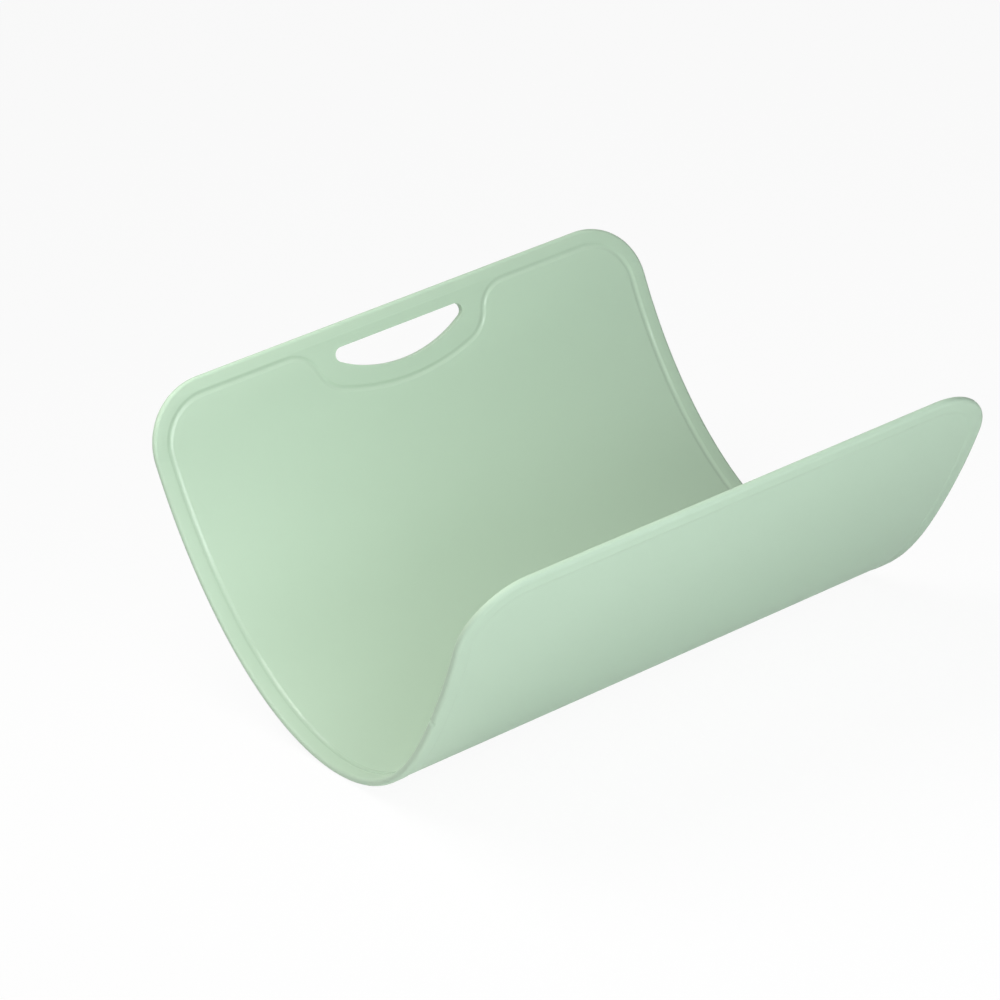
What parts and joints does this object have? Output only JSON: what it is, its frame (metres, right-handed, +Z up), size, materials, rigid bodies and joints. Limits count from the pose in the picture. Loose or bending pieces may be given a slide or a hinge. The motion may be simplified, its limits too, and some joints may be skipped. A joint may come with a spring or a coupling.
{
  "type": "flexible cutting mat",
  "caption": "Flexible cutting mat bent into a broad trough, with rounded corners, a juice groove round its edge and a D-shaped hand slot.",
  "frame": {"origin": "middle of the underside of the strip that the bent mat rests on, in the bottom of its trough", "axes": "+X along the hand slot, to the right when the slot is at the back; +Y toward the slot's end; +Z up, out of the food face at the bottom of the trough"},
  "size_m": [0.225, 0.2334, 0.1234],
  "materials": {
    "mat_plastic": "fine matte moulding, pale green, a little glossier in the groove"
  },
  "bodies": {
    "grip_strip": {"grip_strip": "mat_plastic"},
    "flex_strip_01": {"flex_strip_01": "mat_plastic"},
    "flex_strip_02": {"flex_strip_02": "mat_plastic"},
    "flex_strip_03": {"flex_strip_03": "mat_plastic"},
    "flex_strip_04": {"flex_strip_04": "mat_plastic"},
    "flex_strip_05": {"flex_strip_05": "mat_plastic"},
    "flex_strip_06": {"flex_strip_06": "mat_plastic"},
    "flex_strip_07": {"flex_strip_07": "mat_plastic"},
    "flex_strip_08": {"flex_strip_08": "mat_plastic"},
    "flex_strip_09": {"flex_strip_09": "mat_plastic"},
    "flex_strip_10": {"flex_strip_10": "mat_plastic"},
    "flex_strip_11": {"flex_strip_11": "mat_plastic"},
    "flex_strip_12": {"flex_strip_12": "mat_plastic"},
    "flex_strip_13": {"flex_strip_13": "mat_plastic"},
    "flex_strip_14": {"flex_strip_14": "mat_plastic"},
    "flex_strip_15": {"flex_strip_15": "mat_plastic"},
    "flex_strip_16": {"flex_strip_16": "mat_plastic"},
    "flex_strip_17": {"flex_strip_17": "mat_plastic"},
    "flex_strip_18": {"flex_strip_18": "mat_plastic"},
    "flex_strip_19": {"flex_strip_19": "mat_plastic"},
    "flex_strip_20": {"flex_strip_20": "mat_plastic"},
    "flex_strip_21": {"flex_strip_21": "mat_plastic"},
    "flex_strip_22": {"flex_strip_22": "mat_plastic"},
    "free_edge_strip": {"free_edge_strip": "mat_plastic"}
  },
  "joints": [
    {"name": "bend_at_14", "type": "hinge", "parent": "flex_strip_13", "child": "flex_strip_14", "pos_m": [0, -0.00471, 0.0015], "axis": [-1, 0, 0], "range_deg": [-6.06, 4.5]},
    {"name": "bend_at_15", "type": "hinge", "parent": "flex_strip_14", "child": "flex_strip_15", "pos_m": [0, -0.01408, 0.00249], "axis": [-1, 0, 0], "range_deg": [-6.06, 4.5]},
    {"name": "bend_at_16", "type": "hinge", "parent": "flex_strip_15", "child": "flex_strip_16", "pos_m": [0, -0.02328, 0.00447], "axis": [-1, 0, 0], "range_deg": [-6.06, 4.5]},
    {"name": "bend_at_17", "type": "hinge", "parent": "flex_strip_16", "child": "flex_strip_17", "pos_m": [0, -0.03223, 0.00741], "axis": [-1, 0, 0], "range_deg": [-6.06, 4.5]},
    {"name": "bend_at_18", "type": "hinge", "parent": "flex_strip_17", "child": "flex_strip_18", "pos_m": [0, -0.04082, 0.01128], "axis": [-1, 0, 0], "range_deg": [-6.06, 4.5]},
    {"name": "bend_at_19", "type": "hinge", "parent": "flex_strip_18", "child": "flex_strip_19", "pos_m": [0, -0.04945, 0.01633], "axis": [-1, 0, 0], "range_deg": [-6.06, 4.5]},
    {"name": "bend_at_20", "type": "hinge", "parent": "flex_strip_19", "child": "flex_strip_20", "pos_m": [0, -0.05919, 0.0235], "axis": [-1, 0, 0], "range_deg": [-6.06, 4.5]},
    {"name": "bend_at_21", "type": "hinge", "parent": "flex_strip_20", "child": "flex_strip_21", "pos_m": [0, -0.07146, 0.03473], "axis": [-1, 0, 0], "range_deg": [-6.06, 4.5]},
    {"name": "bend_at_22", "type": "hinge", "parent": "flex_strip_21", "child": "flex_strip_22", "pos_m": [0, -0.09607, 0.06255], "axis": [-1, 0, 0], "range_deg": [-6.06, 4.5]},
    {"name": "bend_at_23", "type": "hinge", "parent": "flex_strip_22", "child": "free_edge_strip", "pos_m": [0, -0.1185, 0.09408], "axis": [-1, 0, 0], "range_deg": [-6.06, 4.5]},
    {"name": "bend_at_13", "type": "hinge", "parent": "flex_strip_13", "child": "flex_strip_12", "pos_m": [0, 0.00471, 0.0015], "axis": [1, 0, 0], "range_deg": [-6.06, 4.5]},
    {"name": "bend_at_12", "type": "hinge", "parent": "flex_strip_12", "child": "flex_strip_11", "pos_m": [0, 0.01408, 0.00249], "axis": [1, 0, 0], "range_deg": [-6.06, 4.5]},
    {"name": "bend_at_11", "type": "hinge", "parent": "flex_strip_11", "child": "flex_strip_10", "pos_m": [0, 0.02328, 0.00447], "axis": [1, 0, 0], "range_deg": [-6.06, 4.5]},
    {"name": "bend_at_10", "type": "hinge", "parent": "flex_strip_10", "child": "flex_strip_09", "pos_m": [0, 0.03223, 0.00741], "axis": [1, 0, 0], "range_deg": [-6.06, 4.5]},
    {"name": "bend_at_09", "type": "hinge", "parent": "flex_strip_09", "child": "flex_strip_08", "pos_m": [0, 0.04082, 0.01128], "axis": [1, 0, 0], "range_deg": [-6.06, 4.5]},
    {"name": "bend_at_08", "type": "hinge", "parent": "flex_strip_08", "child": "flex_strip_07", "pos_m": [0, 0.04903, 0.01608], "axis": [1, 0, 0], "range_deg": [-6.06, 4.5]},
    {"name": "bend_at_07", "type": "hinge", "parent": "flex_strip_07", "child": "flex_strip_06", "pos_m": [0, 0.05714, 0.02206], "axis": [1, 0, 0], "range_deg": [-6.06, 4.5]},
    {"name": "bend_at_06", "type": "hinge", "parent": "flex_strip_06", "child": "flex_strip_05", "pos_m": [0, 0.06515, 0.02938], "axis": [1, 0, 0], "range_deg": [-6.06, 4.5]},
    {"name": "bend_at_05", "type": "hinge", "parent": "flex_strip_05", "child": "flex_strip_04", "pos_m": [0, 0.07298, 0.03824], "axis": [1, 0, 0], "range_deg": [-6.06, 4.5]},
    {"name": "bend_at_04", "type": "hinge", "parent": "flex_strip_04", "child": "flex_strip_03", "pos_m": [0, 0.08059, 0.04893], "axis": [1, 0, 0], "range_deg": [-6.06, 4.5]},
    {"name": "bend_at_03", "type": "hinge", "parent": "flex_strip_03", "child": "flex_strip_02", "pos_m": [0, 0.08758, 0.06135], "axis": [1, 0, 0], "range_deg": [-6.06, 4.5]},
    {"name": "bend_at_02", "type": "hinge", "parent": "flex_strip_02", "child": "flex_strip_01", "pos_m": [0, 0.09361, 0.07535], "axis": [1, 0, 0], "range_deg": [-6.06, 4.5]},
    {"name": "bend_at_01", "type": "hinge", "parent": "flex_strip_01", "child": "grip_strip", "pos_m": [0, 0.09848, 0.09106], "axis": [1, 0, 0], "range_deg": [-6.06, 4.5]}
  ],
  "couplings": [
    {"joint": "bend_at_15", "follows": "bend_at_14", "ratio": 1},
    {"joint": "bend_at_16", "follows": "bend_at_14", "ratio": 1},
    {"joint": "bend_at_17", "follows": "bend_at_14", "ratio": 1},
    {"joint": "bend_at_18", "follows": "bend_at_14", "ratio": 1},
    {"joint": "bend_at_19", "follows": "bend_at_14", "ratio": 1},
    {"joint": "bend_at_20", "follows": "bend_at_14", "ratio": 1},
    {"joint": "bend_at_21", "follows": "bend_at_14", "ratio": 1},
    {"joint": "bend_at_22", "follows": "bend_at_14", "ratio": 1},
    {"joint": "bend_at_23", "follows": "bend_at_14", "ratio": 1},
    {"joint": "bend_at_13", "follows": "bend_at_14", "ratio": 1},
    {"joint": "bend_at_12", "follows": "bend_at_14", "ratio": 1},
    {"joint": "bend_at_11", "follows": "bend_at_14", "ratio": 1},
    {"joint": "bend_at_10", "follows": "bend_at_14", "ratio": 1},
    {"joint": "bend_at_09", "follows": "bend_at_14", "ratio": 1},
    {"joint": "bend_at_08", "follows": "bend_at_14", "ratio": 1},
    {"joint": "bend_at_07", "follows": "bend_at_14", "ratio": 1},
    {"joint": "bend_at_06", "follows": "bend_at_14", "ratio": 1},
    {"joint": "bend_at_05", "follows": "bend_at_14", "ratio": 1},
    {"joint": "bend_at_04", "follows": "bend_at_14", "ratio": 1},
    {"joint": "bend_at_03", "follows": "bend_at_14", "ratio": 1},
    {"joint": "bend_at_02", "follows": "bend_at_14", "ratio": 1},
    {"joint": "bend_at_01", "follows": "bend_at_14", "ratio": 1}
  ]
}
